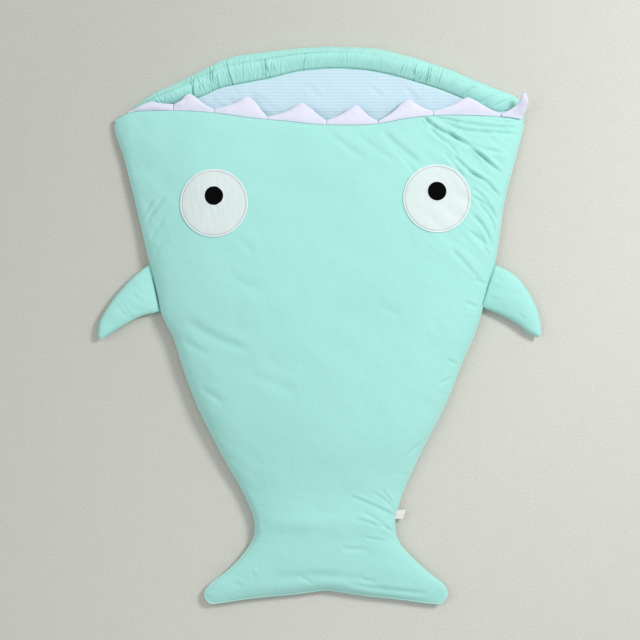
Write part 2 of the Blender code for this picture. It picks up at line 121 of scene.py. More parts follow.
# Folds and tucks of the front panel: points, depth and width in mm, and which side stands up
FOLDS = (
    (
        ((0.172, 0.362), (0.192, 0.341), (0.2385, 0.315), (0.272, 0.290), (0.312, 0.256)),
        5.6, 2.5, 0.7,
    ),
    (((0.176, 0.358), (0.2000, 0.322), (0.2275, 0.3005), (0.236, 0.286)), 4.0, 2.2, -0.6),
    (((0.2115, 0.292), (0.2305, 0.271), (0.246, 0.250)), 2.6, 2.2, -0.5),
    (((0.226, 0.288), (0.256, 0.262), (0.2875, 0.239), (0.312, 0.213)), 4.0, 2.3, 0.7),
    (((0.250, 0.262), (0.284, 0.246), (0.304, 0.232)), 2.6, 2.0, 0.5),
    (((0.255, 0.2215), (0.2875, 0.200), (0.306, 0.1735)), 3.4, 2.2, 0.6),
    (((0.268, 0.209), (0.292, 0.180), (0.303, 0.146)), 3.0, 2.2, 0.5),
    (((0.262, 0.186), (0.282, 0.163), (0.298, 0.120)), 2.6, 3.2, -0.4),
    (((0.222, 0.132), (0.246, 0.105), (0.279, 0.0705)), 1.8, 3.6, 0.4),
    (((0.255, 0.158), (0.293, 0.1305)), 2.4, 3.4, 0.4),
    (((0.232, 0.320), (0.268, 0.302), (0.318, 0.2905)), 3.4, 2.8, -0.5),
    (((0.106, 0.329), (0.1405, 0.298), (0.172, 0.2725)), 2.6, 5.0, 0.6),
    (((0.0155, 0.328), (0.046, 0.303), (0.080, 0.2805)), 1.6, 5.5, 0.4),
    (((0.186, 0.357), (0.236, 0.345), (0.282, 0.338), (0.342, 0.3355)), 5.0, 2.4, 0.5),
    (((0.198, 0.352), (0.246, 0.331), (0.300, 0.3265), (0.345, 0.3235)), 4.4, 2.6, 0.5),
    (((0.280, 0.350), (0.3105, 0.3445), (0.3445, 0.3425)), 2.4, 2.2, -0.4),
    (((0.212, 0.338), (0.247, 0.304), (0.278, 0.274)), 2.6, 2.0, 0.5),
    (((0.170, 0.352), (0.184, 0.334), (0.200, 0.318)), 2.2, 2.0, -0.4),
    (((0.258, 0.236), (0.278, 0.218), (0.300, 0.190)), 2.4, 1.9, 0.5),
    (((0.250, 0.196), (0.276, 0.170), (0.292, 0.138)), 1.8, 2.0, 0.4),
    (((0.060, 0.330), (0.094, 0.300), (0.132, 0.278)), 1.0, 4.5, 0.4),
    (((0.118, 0.305), (0.150, 0.276), (0.166, 0.252)), 1.2, 4.0, 0.4),
    (((-0.300, 0.1665), (-0.2745, 0.203), (-0.261, 0.2165)), 2.6, 2.6, -0.4),
    (((-0.304, 0.184), (-0.2825, 0.212)), 2.2, 2.4, -0.3),
    (((-0.289, 0.148), (-0.264, 0.1815)), 2.0, 2.6, 0.3),
    (((-0.283, 0.124), (-0.268, 0.140)), 1.4, 2.6, 0.3),
    (((-0.228, 0.008), (-0.1845, -0.0195), (-0.1195, -0.0465)), 2.0, 8.0, 0.4),
    (((-0.234, -0.028), (-0.190, -0.052)), 1.3, 6.0, 0.4),
    (((-0.204, -0.107), (-0.163, -0.136)), 1.4, 6.0, 0.4),
    (((-0.1195, -0.0845), (-0.038, -0.117)), 0.9, 9.0, 0.3),
    (((-0.1575, 0.081), (-0.092, 0.054)), 0.8, 9.0, 0.3),
    (((-0.140, 0.148), (-0.112, 0.120)), 0.8, 7.0, 0.3),
    (((0.274, 0.1385), (0.290, 0.119)), 1.8, 3.0, 0.4),
    (((0.097, 0.035), (0.1405, 0.0135)), 0.8, 7.0, 0.3),
    (((0.1925, 0.0135), (0.206, -0.0195)), 0.8, 7.0, -0.3),
    (((0.218, -0.061), (0.2445, -0.072)), 2.2, 2.6, 0.4),
    (((0.202, -0.102), (0.228, -0.0905)), 2.2, 2.6, 0.4),
    (((0.152, -0.2215), (0.174, -0.2005)), 1.8, 2.6, 0.3),
    (((0.264, 0.077), (0.286, 0.066)), 2.6, 2.6, 0.3),
    (((0.248, 0.037), (0.270, 0.029)), 2.2, 2.6, 0.3),
    (((0.052, -0.293), (0.0905, -0.3085), (0.130, -0.3280)), 2.8, 2.3, 0.6),
    (((0.090, -0.287), (0.112, -0.3005), (0.130, -0.320)), 2.2, 2.0, -0.4),
    (((0.106, -0.281), (0.1275, -0.309)), 1.6, 2.0, 0.4),
    (((0.071, -0.319), (0.098, -0.334), (0.1265, -0.357)), 2.4, 2.3, -0.5),
    (((0.058, -0.3315), (0.1025, -0.344), (0.122, -0.352)), 1.8, 2.2, 0.4),
    (((0.0775, -0.364), (0.115, -0.3695)), 1.7, 2.2, 0.4),
    (((0.0365, -0.382), (0.084, -0.385)), 1.4, 4.0, 0.4),
    (((-0.036, -0.429), (-0.011, -0.442)), 1.1, 3.0, 0.4),
    (((0.071, -0.4355), (0.0965, -0.4405)), 1.4, 3.0, 0.4),
    (((-0.118, -0.420), (-0.1085, -0.4325)), 1.2, 3.0, 0.4),
    (((-0.148, -0.440), (-0.132, -0.4465)), 1.4, 3.0, 0.4),
    (((-0.098, -0.352), (-0.045, -0.357), (0.015, -0.350)), 0.5, 8.0, 0.4),
    (((-0.105, -0.372), (-0.050, -0.376)), 0.5, 6.0, -0.4),
    (((-0.078, -0.4325), (0.0, -0.4285), (0.105, -0.4385)), 2.0, 8.0, -0.5),
    (((0.050, -0.4440), (0.118, -0.4530), (0.186, -0.4600)), 2.4, 4.0, -0.4),
)

# The eyes' middles; each pupil sits a little above its eye's middle
EYES = {"left": (-0.1777, 0.2043), "right": (0.1978, 0.2121)}
EYE_RADIUS = 0.0574
PUPIL_RISE = 0.0121
PUPIL_RADIUS = 0.0158

LABEL_Y = -0.3165
LABEL_SIZE = (0.0160, 0.0155)

# Each tooth: its root from and to along x, its tip and the tip's height, sideways bend, fullness
TEETH = (
    (-0.3260, -0.2480, (-0.2870, 0.3800), 0.0255, -0.0030, 0.55),
    (-0.2475, -0.1790, (-0.2217, 0.3936), 0.0270, 0.0, 1.0),
    (-0.1780, -0.0885, (-0.1236, 0.3893), 0.0255, 0.0040, 1.0),
    (-0.0875, 0.0112, (-0.0315, 0.3779), 0.0255, 0.0040, 1.0),
    (0.0122, 0.0990, (0.0629, 0.3740), 0.0255, 0.0, 1.0),
    (0.1000, 0.1928, (0.1519, 0.3840), 0.0260, 0.0, 1.0),
    (0.1938, 0.3087, (0.2523, 0.3875), 0.0275, 0.0020, 1.0),
    (0.3095, 0.3445, (0.3490, 0.3950), 0.0350, 0.0060, 1.0),
)

TOOTH_GAP = 0.0003  # half the gap between two teeth

# Height of the teeth's roots, along x
ROOT_X = (0.0, 0.13, 0.245, 0.33, 0.35)
ROOT_HIGH = (0.0330, 0.0312, 0.0266, 0.0180, 0.0165)
ROOT_LEAST = 0.0200
TOOTH_HALF = 0.0026  # how far a tooth's upper face swells

# How high the white strip stands above the mouth's edge between the teeth, in mm, from the left end
VALLEYS = (2.0, 11.0, 7.0, 4.5, 7.0, 4.0, 7.5, 4.5, 2.0)

LINING_REACH = 0.950  # share of the half width that the linings reach

# Soft creases of the lining inside the mouth
LINING_CREASES = (
    ((-0.190, 0.396), (-0.165, 0.368)), ((-0.178, 0.400), (-0.160, 0.378)),
    ((-0.163, 0.402), (-0.1455, 0.374)), ((-0.150, 0.404), (-0.139, 0.388)),
    ((-0.1035, 0.392), (-0.076, 0.3625)), ((-0.118, 0.398), (-0.100, 0.372)),
    ((0.150, 0.4035), (0.165, 0.3800)), ((-0.020, 0.410), (0.000, 0.385)),
    ((0.090, 0.405), (0.104, 0.388)),
)

# The hood's rim: its outer and inner edges
RIM_OUTER = (
    (-0.3512, 0.3472), (-0.3405, 0.3538), (-0.3188, 0.3702), (-0.2872, 0.3944),
    (-0.2532, 0.4096), (-0.2022, 0.4350), (-0.1622, 0.4544), (-0.0952, 0.4660),
    (-0.0435, 0.4722), (0.0230, 0.4752), (0.0520, 0.4750), (0.1088, 0.4700),
    (0.1655, 0.4552), (0.2048, 0.4428), (0.2508, 0.4244), (0.3085, 0.4008),
    (0.3338, 0.3908), (0.3452, 0.3790), (0.3490, 0.3640),
)
RIM_INNER = (
    (-0.3455, 0.3455), (-0.3130, 0.3580), (-0.2750, 0.3680), (-0.2350, 0.3770),
    (-0.2020, 0.3860), (-0.1730, 0.3996), (-0.1270, 0.4098), (-0.0827, 0.4183),
    (-0.0435, 0.4285), (0.0009, 0.4340), (0.0793, 0.4316), (0.1253, 0.4228),
    (0.1645, 0.4115), (0.2072, 0.3980), (0.2438, 0.3832), (0.2900, 0.3645),
    (0.3090, 0.3612), (0.3270, 0.3640), (0.3425, 0.3640),
)
RIM_BASE = 0.0022
RIM_TOP = 0.0236
RIM_END = 0.0085  # the rim's height at its two ends
RIM_SAG = 0.0012  # how far the rim's underside bulges down
RIM_RINGS = 900
RIM_SIDES = 84

# The groove along the rim: x, and how far it runs inside the outer edge, in mm
GROOVE = (
    (-0.340, 4.5), (-0.290, 6.6), (-0.230, 9.5), (-0.200, 9.0), (-0.160, 12.0), (-0.120, 14.0),
    (-0.050, 10.0), (0.020, 9.0), (0.120, 10.0), (0.340, 10.0),
)

GROOVE_WIDTH = 0.0012
GROOVE_DEPTH = 0.0050

# Bunches of gathers along the rim: x, half length of the bunch, how many, and depth in mm
BUNCHES = (
    (-0.2750, 0.022, 5, 1.3), (-0.1960, 0.026, 13, 2.6), (-0.1560, 0.006, 3, 3.0),
    (-0.1180, 0.020, 5, 0.8), (-0.0860, 0.009, 5, 2.6), (-0.0430, 0.030, 9, 1.4),
    (0.0560, 0.020, 3, 0.7), (0.1050, 0.020, 3, 0.7),
    (0.1660, 0.032, 13, 2.0), (0.2120, 0.015, 4, 1.2),
)

# Long slanted creases near the rim's right end: points and depth in mm
RIM_CREASES = (
    (((0.2450, 0.3880), (0.2560, 0.3985), (0.2680, 0.4052)), 2.4),
    (((0.2770, 0.3772), (0.2930, 0.3890), (0.3080, 0.3982)), 2.6),
    (((0.2980, 0.3700), (0.3120, 0.3790), (0.3260, 0.3850)), 1.6),
)


# ---------------- curves and noise

CELLS = 64  # the noise repeats after this many of its grains


def unit(value):
    """A value kept between 0 and 1."""
    return np.clip(value, 0.0, 1.0)


def step(low, high, value):
    """0 before low and 1 past high, smooth between; high may be the smaller."""
    share = unit((value - low) / (high - low))
    return share * share * (3.0 - 2.0 * share)


def through(value, xs, ys):
    """A smooth curve through points with rising xs."""
    xs = np.asarray(xs, float)
    ys = np.asarray(ys, float)
    slope = np.gradient(ys, xs)
    at = np.clip(np.searchsorted(xs, value) - 1, 0, len(xs) - 2)
    width = xs[at + 1] - xs[at]
    t = unit((value - xs[at]) / width)
    return (
        (2 * t**3 - 3 * t**2 + 1) * ys[at]
        + (t**3 - 2 * t**2 + t) * width * slope[at]
        + (3 * t**2 - 2 * t**3) * ys[at + 1]
        + (t**3 - t**2) * width * slope[at + 1]
    )


def run_along(line):
    """How far along a line each of its points is."""
    return np.concatenate(((0.0,), np.cumsum(np.linalg.norm(np.diff(line, axis=0), axis=1))))


def picked(at, run, line):
    """Points of a line at those distances along it."""
    return np.stack([np.interp(at, run, line[:, k]) for k in range(line.shape[1])], axis=-1)


def smooth_line(points, count):
    """Points along a smooth curve through the given ones, evenly spaced."""
    points = np.array(points, float)
    if len(points) == 2:
        share = np.linspace(0.0, 1.0, count)[:, None]
        return points[0] + (points[1] - points[0]) * share
    run = run_along(points)
    fine = np.linspace(0.0, run[-1], count * 8)
    line = np.stack([through(fine, run, points[:, k]) for k in range(points.shape[1])], axis=-1)
    length = run_along(line)
    return picked(np.linspace(0.0, length[-1], count), length, line)


def noise(x, y, size, seed):
    """Smooth seeded noise of that grain, roughly -1 to 1."""
    rng = np.random.default_rng(seed)
    turn = rng.uniform(0.0, 2.0 * math.pi, (CELLS, CELLS))
    gx, gy = np.cos(turn), np.sin(turn)
    px, py = x / size + 31.7, y / size + 27.3
    ix, iy = np.floor(px).astype(int), np.floor(py).astype(int)
    fx, fy = px - ix, py - iy
    total = np.zeros(np.shape(px))
    wx, wy = fx**3 * (fx * (6 * fx - 15) + 10), fy**3 * (fy * (6 * fy - 15) + 10)
    for dx in (0, 1):
        for dy in (0, 1):
            a, b = (ix + dx) % CELLS, (iy + dy) % CELLS
            dot = gx[a, b] * (fx - dx) + gy[a, b] * (fy - dy)
            total += dot * (wx if dx else 1 - wx) * (wy if dy else 1 - wy)
    return total * 1.6


def fold(x, y, points, depth, width, side):
    """Height of one fold: a groove along the line, with the cloth standing up beside it."""
    line = smooth_line(points, 22)
    out = np.zeros(x.shape)
    reach = 4.5 * width
    low, high = line.min(axis=0) - reach, line.max(axis=0) + reach
    near = (x > low[0]) & (x < high[0]) & (y > low[1]) & (y < high[1])
    if not near.any():
        return out
    px, py = x[near], y[near]
    best = np.full(px.shape, 1e9)
    share = np.zeros(px.shape)
    signed = np.zeros(px.shape)
    pieces = len(line) - 1
    for k in range(pieces):
        a, d = line[k], line[k + 1] - line[k]
        long = d @ d
        t = unit(((px - a[0]) * d[0] + (py - a[1]) * d[1]) / long)
        ex, ey = px - a[0] - d[0] * t, py - a[1] - d[1] * t
        gap = np.hypot(ex, ey)
        closer = gap < best
        best = np.where(closer, gap, best)
        share = np.where(closer, (k + t) / pieces, share)
        signed = np.where(closer, np.sign(d[0] * ey - d[1] * ex), signed)
    taper = unit(4.0 * share * (1.0 - share) * 1.6) ** 0.6
    groove = -np.exp(-((best / width) ** 2))
    bank = np.exp(-(((best - 1.9 * width) / (1.25 * width)) ** 2))
    out[near] = depth * taper * (groove + bank * (0.32 + 0.34 * side * signed))
    return out


# ---------------- meshes

LIP_SIDES = 10


def new_object(name, vertices, faces):
    """A smooth-shaded mesh object in the scene."""
    mesh = bpy.data.meshes.new(name)
    mesh.from_pydata(vertices.tolist(), [], faces)
    mesh.update()
    mesh.polygons.foreach_set("use_smooth", np.ones(len(mesh.polygons), bool))
    made = bpy.data.objects.new(name, mesh)
    bpy.context.scene.collection.objects.link(made)
    return made


def quads(index):
    """Faces of a grid of vertex numbers, facing up where rows run down the page."""
    a, b = index[:-1, :-1].ravel(), index[1:, :-1].ravel()
    c, d = index[1:, 1:].ravel(), index[:-1, 1:].ravel()
    return np.stack((a, b, c, d), axis=-1)


def pad(name, x, y, top, bottom):
    """A closed pad from a top and a bottom on one plan, sewn together round the border."""
    rows, columns = x.shape
    upper = np.arange(rows * columns).reshape(rows, columns)
    lower = upper.copy()
    inside = (rows - 2) * (columns - 2)
    lower[1:-1, 1:-1] = np.arange(inside).reshape(rows - 2, columns - 2) + rows * columns
    edge = np.ones(x.shape, bool)
    edge[1:-1, 1:-1] = False
    top = np.where(edge, (top + bottom) / 2, top)
    points = np.stack((x, y, top), axis=-1).reshape(-1, 3)
    under = np.stack((x, y, bottom), axis=-1)[1:-1, 1:-1].reshape(-1, 3)
    faces = np.concatenate((quads(upper), quads(lower)[:, ::-1]))
    return new_object(name, np.concatenate((points, under)), faces.tolist())


def tube(name, rings, closed):
    """A skin through rings of points; the ends are closed with a fan unless the tube is a loop."""
    count, around = rings.shape[:2]
    index = np.arange(count * around).reshape(count, around)
    if closed:
        index = np.concatenate((index, index[:1]))
    index = np.concatenate((index, index[:, :1]), axis=1)
    faces = quads(index).tolist()
    points = rings.reshape(-1, 3)
    if not closed:
        first, last = len(points), len(points) + 1
        ends = [rings[at].mean(axis=0)[None] for at in (0, -1)]
        points = np.concatenate((points, *ends))
        for k in range(around):
            after = (k + 1) % around
            faces.append((int(index[0, k]), int(index[0, after]), first))
            faces.append((int(index[-1, after]), int(index[-1, k]), last))
    return new_object(name, points, faces)


def turns(count):
    """Evenly spaced angles round a circle, without the last."""
    return np.linspace(0.0, 2.0 * math.pi, count, endpoint=False)


def lip_along(name, line, width, height, closed=False):
    """A rounded lip along a line, as wide and as high as told."""
    ahead = np.roll(line, -1, axis=0)
    behind = np.roll(line, 1, axis=0)
    if not closed:
        ahead[-1], behind[0] = line[-1], line[0]
    run = ahead - behind
    run /= np.linalg.norm(run, axis=1)[:, None]
    across = np.cross(run, UP)
    across /= np.linalg.norm(across, axis=1)[:, None]
    lift = np.cross(across, run)
    turn = turns(LIP_SIDES)
    rings = (
        line[:, None, :]
        + across[:, None, :] * (np.cos(turn)[None, :, None] * (width / 2))
        + lift[:, None, :] * (np.sin(turn)[None, :, None] * (height / 2))
    )
    return outward(tube(name, rings, closed))


def outward(piece):
    """Turns every face of a closed mesh outwards."""
    bm = bmesh.new()
    bm.from_mesh(piece.data)
    bmesh.ops.recalc_face_normals(bm, faces=bm.faces[:])
    bm.to_mesh(piece.data)
    bm.free()
    piece.data.polygons.foreach_set("use_smooth", np.ones(len(piece.data.polygons), bool))
    return piece


def settle(piece, material, body=None, bend=None, replaces=()):
    """Keeps where each point is at rest, for the cloth pattern; without a bend it ties the piece to
    a body of the frame, with one it only bakes the piece's transform.
    """
    mesh = piece.data
    rest = np.zeros(len(mesh.vertices) * 3, np.float32)
    mesh.vertices.foreach_get("co", rest)
    mesh.attributes.new("cloth_place", "FLOAT_VECTOR", "POINT").data.foreach_set("vector", rest)
    mesh.materials.append(material)
    if replaces:
        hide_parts(*replaces)
    if bend:
        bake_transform(piece)
    else:
        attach(piece, body)
    return piece


# ---------------- the bag's surfaces

def half_width(y):
    """Half the bag's width at the side seam."""
    return through(y, SIDE[:, 0], SIDE[:, 1])


def middle_x(y):
    """x of the bag's middle, which wanders a little."""
    return through(y, SIDE[:, 0], SIDE[:, 2])


def mouth_dip(x):
    """How far the middle of the mouth's edge hangs down."""
    return 0.0235 * np.exp(-((x / 0.130) ** 2))


def hem_offset(x):
    """The waves of the mouth's edge."""
    return through(np.clip(x, HEM_X[0], HEM_X[-1]), HEM_X, HEM_OFF) / 1000


def dip_share(y):
    """How much a row follows the mouth's edge."""
    return unit((y - DIP_END_Y) / (MOUTH_FULL_Y - DIP_END_Y))


def bottom_edge(x):
    """The tail's lower edge, notched in the middle."""
    at = (0.0, 0.020, 0.070, 0.140, 0.190)
    edge = np.interp(np.abs(x), at, (-0.4515, -0.4540, -0.4615, -0.4680, -0.4740))
    return edge + 0.0018 * step(-0.03, -0.09, x)


def plan_of(u, row):
    """x and y on the bag from a share of the width and the row's y at the sides."""
    x = middle_x(row) + u * half_width(row)
    down = unit((NECK_Y - row) / (NECK_Y - TAIL_END_Y))
    notch = (bottom_edge(x - 0.010) - TAIL_END_Y) * (1.0 - np.abs(u) ** 6)
    y = row + (hem_offset(x) - mouth_dip(x)) * dip_share(row) + notch * down
    return x, y


def seam_z(row):
    """Height of the side seam, lower at the mouth."""
    return np.interp(row, (0.250, MOUTH_Y), (SEAM_Z, MOUTH_SEAM_Z))


def edge_rise(u):
    """How far the underside has curled up towards the side seam."""
    return unit((np.abs(u) - 0.80) / 0.20) ** 1.6


def layers(u, row):
    """Heights of the back pad's underside and top, and of the underside of the front pad."""
    inner = np.minimum(np.abs(u), 0.97)
    thin = np.sqrt(1.0 - inner**6)
    opened = (1.0 - inner**2) ** 0.8
    seam = seam_z(row)
    under = (seam - SKIN - GAP / 2) * edge_rise(u)
    wadding = through(row, HEIGHTS[:, 0], HEIGHTS[:, 2])
    pocket = np.maximum(through(row, HEIGHTS[:, 0], HEIGHTS[:, 3]), 0.0)
    lined = step(-0.300, -0.285, row)
    back_top = under + SKIN + GAP + wadding * thin
    front_under = back_top + 2 * LAYER * lined + np.maximum(pocket * opened, GAP)
    near = step(0.955, 1.0, np.abs(u))
    back_top = back_top + (seam - back_top) * near
    front_under = front_under + (seam - front_under) * near
    return under, back_top, front_under


def plain_top(u, row):
    """Height of the front panel without its folds."""
    seam = seam_z(row)
    middle = through(row, HEIGHTS[:, 0], HEIGHTS[:, 1])
    share = np.minimum(np.abs(u), 1.0)
    steep = 0.45 + 0.12 * step(0.60, 0.90, -u) * step(0.08, 0.20, row) * step(0.31, 0.26, row)
    return seam + (middle - seam) * (1.0 - share**2.2) ** steep


def relief(x, y, plain, u, row):
    """Folds, tucks and slack of the front panel, in metres."""
    nearer = CAMERA_HIGH / (CAMERA_HIGH + SEAM_Z - plain)
    seen_x = CAMERA_X + (x - CAMERA_X) * nearer
    seen_y = CAMERA_Y + (y - CAMERA_Y) * nearer
    total = np.zeros(x.shape)
    for points, depth, width, side in FOLDS:
        total += fold(seen_x, seen_y, points, depth / 1000, width / 1000, side)
    calm = 1.0 - step(0.93, 1.0, np.abs(u))
    edge = step(0.62, 0.90, np.abs(u))
    slack = 1.8 * noise(x * 0.8, y, 0.115, 11) + 0.8 * noise(x + 0.4 * y, y, 0.052, 12)
    fine = 0.55 * noise(x + y * 0.6, y, 0.024, 13) * edge + 0.20 * noise(x, y, 0.017, 16)
    fine = fine + 0.12 * noise(x + 0.3 * y, y, 0.0085, 17)
    right = step(0.10, 0.30, x) * step(0.04, 0.16, y)
    loose = 1.5 * noise(x + 0.9 * y, (y - 0.5 * x) * 0.45, 0.022, 14) * right
    along, across = x * 0.77 - y * 0.64, x * 0.64 + y * 0.77
    corner = step(0.15, 0.27, x) * step(0.05, 0.15, y)
    loose = loose + 0.75 * noise(across, along * 0.16, 0.0078, 19) * corner
    loose = loose + 0.35 * noise(across * 1.1 + 3.0, along * 0.20, 0.0046, 20) * corner
    along, across = x * 0.70 + y * 0.71, y * 0.70 - x * 0.71
    corner = step(-0.22, -0.29, x) * step(0.03, 0.10, y) * (1.0 - step(0.22, 0.30, y))
    loose = loose + 0.55 * noise(across, along * 0.20, 0.0075, 22) * corner
    lower = 0.5 * noise(x * 0.45, y, 0.020, 15) * step(-0.30, -0.345, y)
    from_edge = (1.0 - np.abs(u)) * half_width(row)
    side = np.where(u > 0.0, 5.0, -5.0)
    gather = 0.75 * noise(row, side + from_edge * 0.25, 0.0062, 18)
    gather = gather * np.exp(-((from_edge / 0.017) ** 2)) * step(0.0, 0.003, from_edge)
    return total * (0.25 + 0.75 * calm) + ((slack + fine + loose + lower) * calm + gather) / 1000


def front_height(x, y):
    """Height of the front panel under any point on it above the tail."""
    row = y.copy()
    for _ in range(4):
        row = y - (hem_offset(x) - mouth_dip(x)) * dip_share(row)
    u = (x - middle_x(row)) / half_width(row)
    plain = plain_top(u, row)
    return plain + relief(x, y, plain, u, row)


def shares(half_count, power):
    """Shares of the half width from -1 to 1, closer together towards the sides."""
    side = 1.0 - (1.0 - np.linspace(0.0, 1.0, half_count + 1)) ** power
    return np.concatenate((-side[:0:-1], side))


def rows_between(high, low, pitch):
    """Rows down the bag, closer together at the two ends."""
    close = np.array((0.0, 0.4, 1.0, 1.8, 2.8, 4.0, 5.5, 7.3, 9.4)) / 1000
    end = 0.012
    middle = np.linspace(high - end, low + end, int((high - low - 2 * end) / pitch))
    return np.concatenate((high - close, middle, (low + close)[::-1]))


def rounded(distance, radius):
    """0 at an edge, 1 past the radius, as the side of a roll."""
    return np.sqrt(unit(1.0 - (1.0 - unit(distance / radius)) ** 2))


def on_seam(value, u, row, off, share=1.0):
    """A surface closed on the side seam at its very edge, off above it."""
    side = (1.0 - unit((1.0 - np.abs(u)) / SEAM_BAND)) * share
    return value + (seam_z(row) + off - value) * side


def on_join(value, u, join):
    """A surface of the back closed on the cross seam where its two halves meet."""
    middle = 0.006 + edge_rise(u) * 0.0055
    return middle + (value - middle) * join


def past_mouth(row):
    """0 down the bag, 1 past the mouth's edge."""
    return step(MOUTH_Y, 0.372, row)


def levelled(top, u, row):
    """The back's top, levelled out where it spreads into the hood."""
    level = 0.0140 * (1.0 - edge_rise(u)) + 0.004 * edge_rise(u)
    return top + (np.minimum(level, top + 0.01) - top) * past_mouth(row)


def add_front(cloth):
    """The padded front panel, from the mouth to the tail."""
    u, row = np.meshgrid(shares(118, 1.35), rows_between(MOUTH_Y, TAIL_END_Y, 0.0030))
    x, y = plan_of(u, row)
    wave = 0.0011 * noise(row, 3.0, 0.035, 21) * step(-0.28, 0.0, row)
    x = x + wave * np.abs(u) ** 6 * np.where(u > 0, 1.0, 0.35)
    plain = plain_top(u, row)
    top = plain + relief(x, y, plain, u, row)
    under = layers(u, row)[2] + GAP
    under = np.minimum(under, top - 0.0012)
    hem = rounded(MOUTH_Y - row, HEM_ROUND)
    foot = rounded(row - TAIL_END_Y, FOOT_ROUND)
    middle = (top + under) / 2
    near_foot = 1.0 - step(0.0, FOOT_ROUND, row - TAIL_END_Y)
    centre = middle + (SEAM_Z + LIP - middle) * near_foot
    top = on_seam(centre + (top - centre) * hem * foot, u, row, LIP)
    under = on_seam(centre + (under - centre) * hem * foot, u, row, LIP)
    piece = pad("bag_front", x, y, top, under)
    settle(
        piece, cloth, bend=TAIL_BEND,
        replaces=("front_shell", "front_wadding", "tail_front_shell", "tail_wadding"),
    )


def add_lower_back(cloth):
    """The back of the trunk and the tail, below the cross seam."""
    u, row = np.meshgrid(shares(60, 1.35), rows_between(BACK_JOIN_Y, TAIL_END_Y, 0.0060))
    x, y = plan_of(u, row)
    under, top, _ = layers(u, row)
    join = rounded(BACK_JOIN_Y - row, 0.010)
    foot = rounded(row - TAIL_END_Y, 0.020)
    under = under + (SEAM_Z - LIP - under) * (1.0 - foot) ** 1.2
    top = np.minimum(top, SEAM_Z + (top - SEAM_Z) * foot - LIP)
    top = on_seam(on_join(top, u, join), u, row, -LIP)
    under = on_seam(on_join(under, u, join), u, row, -LIP)
    calm = (1.0 - edge_rise(u)) * foot * join
    under = under + 0.0003 * (1.0 + noise(x, y, 0.05, 31)) * calm
    piece = pad("bag_back_lower", x, y, top, under)
    settle(
        piece, cloth, bend=TAIL_BEND,
        replaces=("tail_back_shell",),
    )


def rim_y(edge, x):
    """y of one edge of the rim."""
    line = smooth_line(edge, 120)
    return np.interp(x, line[:, 0], line[:, 1])


def upper_plan(u, row, beyond):
    """The back of the bag above the join; rows past the mouth spread up into the hood."""
    straight = np.minimum(row, MOUTH_Y)
    x, _ = plan_of(u, straight)
    corner = hem_offset(x) * step(0.318, 0.345, np.abs(x))
    y = straight + corner * dip_share(straight)
    share = unit((row - MOUTH_Y) / (HOOD_ROW - MOUTH_Y))
    y = y + share * (beyond(x) - MOUTH_Y - corner)
    return x, y


def add_upper_back(cloth):
    """The back of the trunk above the cross seam, and the hood."""
    u, row = np.meshgrid(shares(64, 1.35), rows_between(HOOD_ROW, BACK_JOIN_Y, 0.0055))
    x, y = upper_plan(u, row, lambda value: rim_y(RIM_OUTER, value) - 0.0008)
    under, top, _ = layers(u, np.minimum(row, MOUTH_Y))
    top = levelled(top, u, row)
    inside = rim_y(RIM_INNER, x) - 0.0010 - y
    band = (1.0 - step(0.0, 0.010, inside)) * step(0.345, 0.352, y)
    top = top + (0.0018 - top) * band
    under = under * (1.0 - band)
    join = rounded(row - BACK_JOIN_Y, 0.010)
    below_mouth = 1.0 - past_mouth(row)
    top = on_seam(on_join(top, u, join), u, row, -LIP, below_mouth)
    under = on_seam(on_join(under, u, join), u, row, -LIP, below_mouth)
    calm = (1.0 - edge_rise(u)) * join * (1.0 - band)
    under = under + 0.0003 * (1.0 + noise(x, y, 0.05, 32)) * calm
    piece = pad("bag_back_upper", x, y, np.maximum(top, under + 0.0006), under)
    settle(
        piece, cloth, bend=HOOD_BEND,
        replaces=("back_shell", "back_wadding", "hood_shell", "hood_wadding"),
    )


def add_linings(cloth):
    """The pocket's two sheets: one on the back and the hood, one under the front panel."""
    across = shares(60, 1.2) * LINING_REACH
    u, row = np.meshgrid(across, np.linspace(0.4743, -0.288, 190))
    x, y = upper_plan(u, row, lambda value: rim_y(RIM_INNER, value) + 0.0010)
    back = levelled(layers(u, np.minimum(row, MOUTH_Y))[1], u, row)
    slack = 0.0005 * (1.0 + noise(x, y * 1.4, 0.045, 41)) + 0.0004 * (1.0 + noise(x, y, 0.02, 42))
    open_part = step(0.300, 0.345, y)
    creases = np.zeros(x.shape)
    for points in LINING_CREASES:
        creases += fold(x, y, points, depth=0.0019, width=0.0028, side=0.5)
    slack = np.maximum(slack + creases + 0.0006, 0.0)
    middle = back + GAP + LINING / 2 + slack * open_part
    piece = pad("back_lining_cloth", x, y, middle + LINING / 2, middle - LINING / 2)
    settle(
        piece, cloth, bend=HOOD_BEND,
        replaces=("back_lining", "hood_lining"),
    )
    u, row = np.meshgrid(across, np.linspace(MOUTH_Y - 0.0012, -0.286, 170))
    x, y = plan_of(u, row)
    middle = layers(u, row)[2] - GAP - LINING / 2
    piece = pad("front_lining_cloth", x, y, middle + LINING / 2, middle - LINING / 2)
    settle(piece, cloth, body="trunk", replaces=("front_lining",))


def grooved(ridge, height, dome, x_here, from_outer, ends):
    """The roll with its long groove: it falls away outside the groove and stands up inside."""
    strong = ((1.0 - 0.75 * step(-0.02, 0.10, x_here)) * ends)[:, None]
    at_x, inside = zip(*GROOVE)
    place = np.interp(x_here, at_x, inside) / 1000 + 0.0010 * noise(x_here, 1.0, 0.05, 52)
    place = place[:, None]
    off_line = from_outer - place
    outside = 1.0 - step(-0.0015, 0.0015, off_line)
    slope = 0.50 * height * unit(from_outer / place) ** 0.9
    ridge = ridge + (np.minimum(slope, ridge) - ridge) * outside * strong
    cut = np.exp(-((off_line / GROOVE_WIDTH) ** 2))
    cut = cut - 0.85 * np.exp(-(((off_line - 2 * GROOVE_WIDTH) / GROOVE_WIDTH) ** 2))
    return ridge - GROOVE_DEPTH * strong * cut * dome


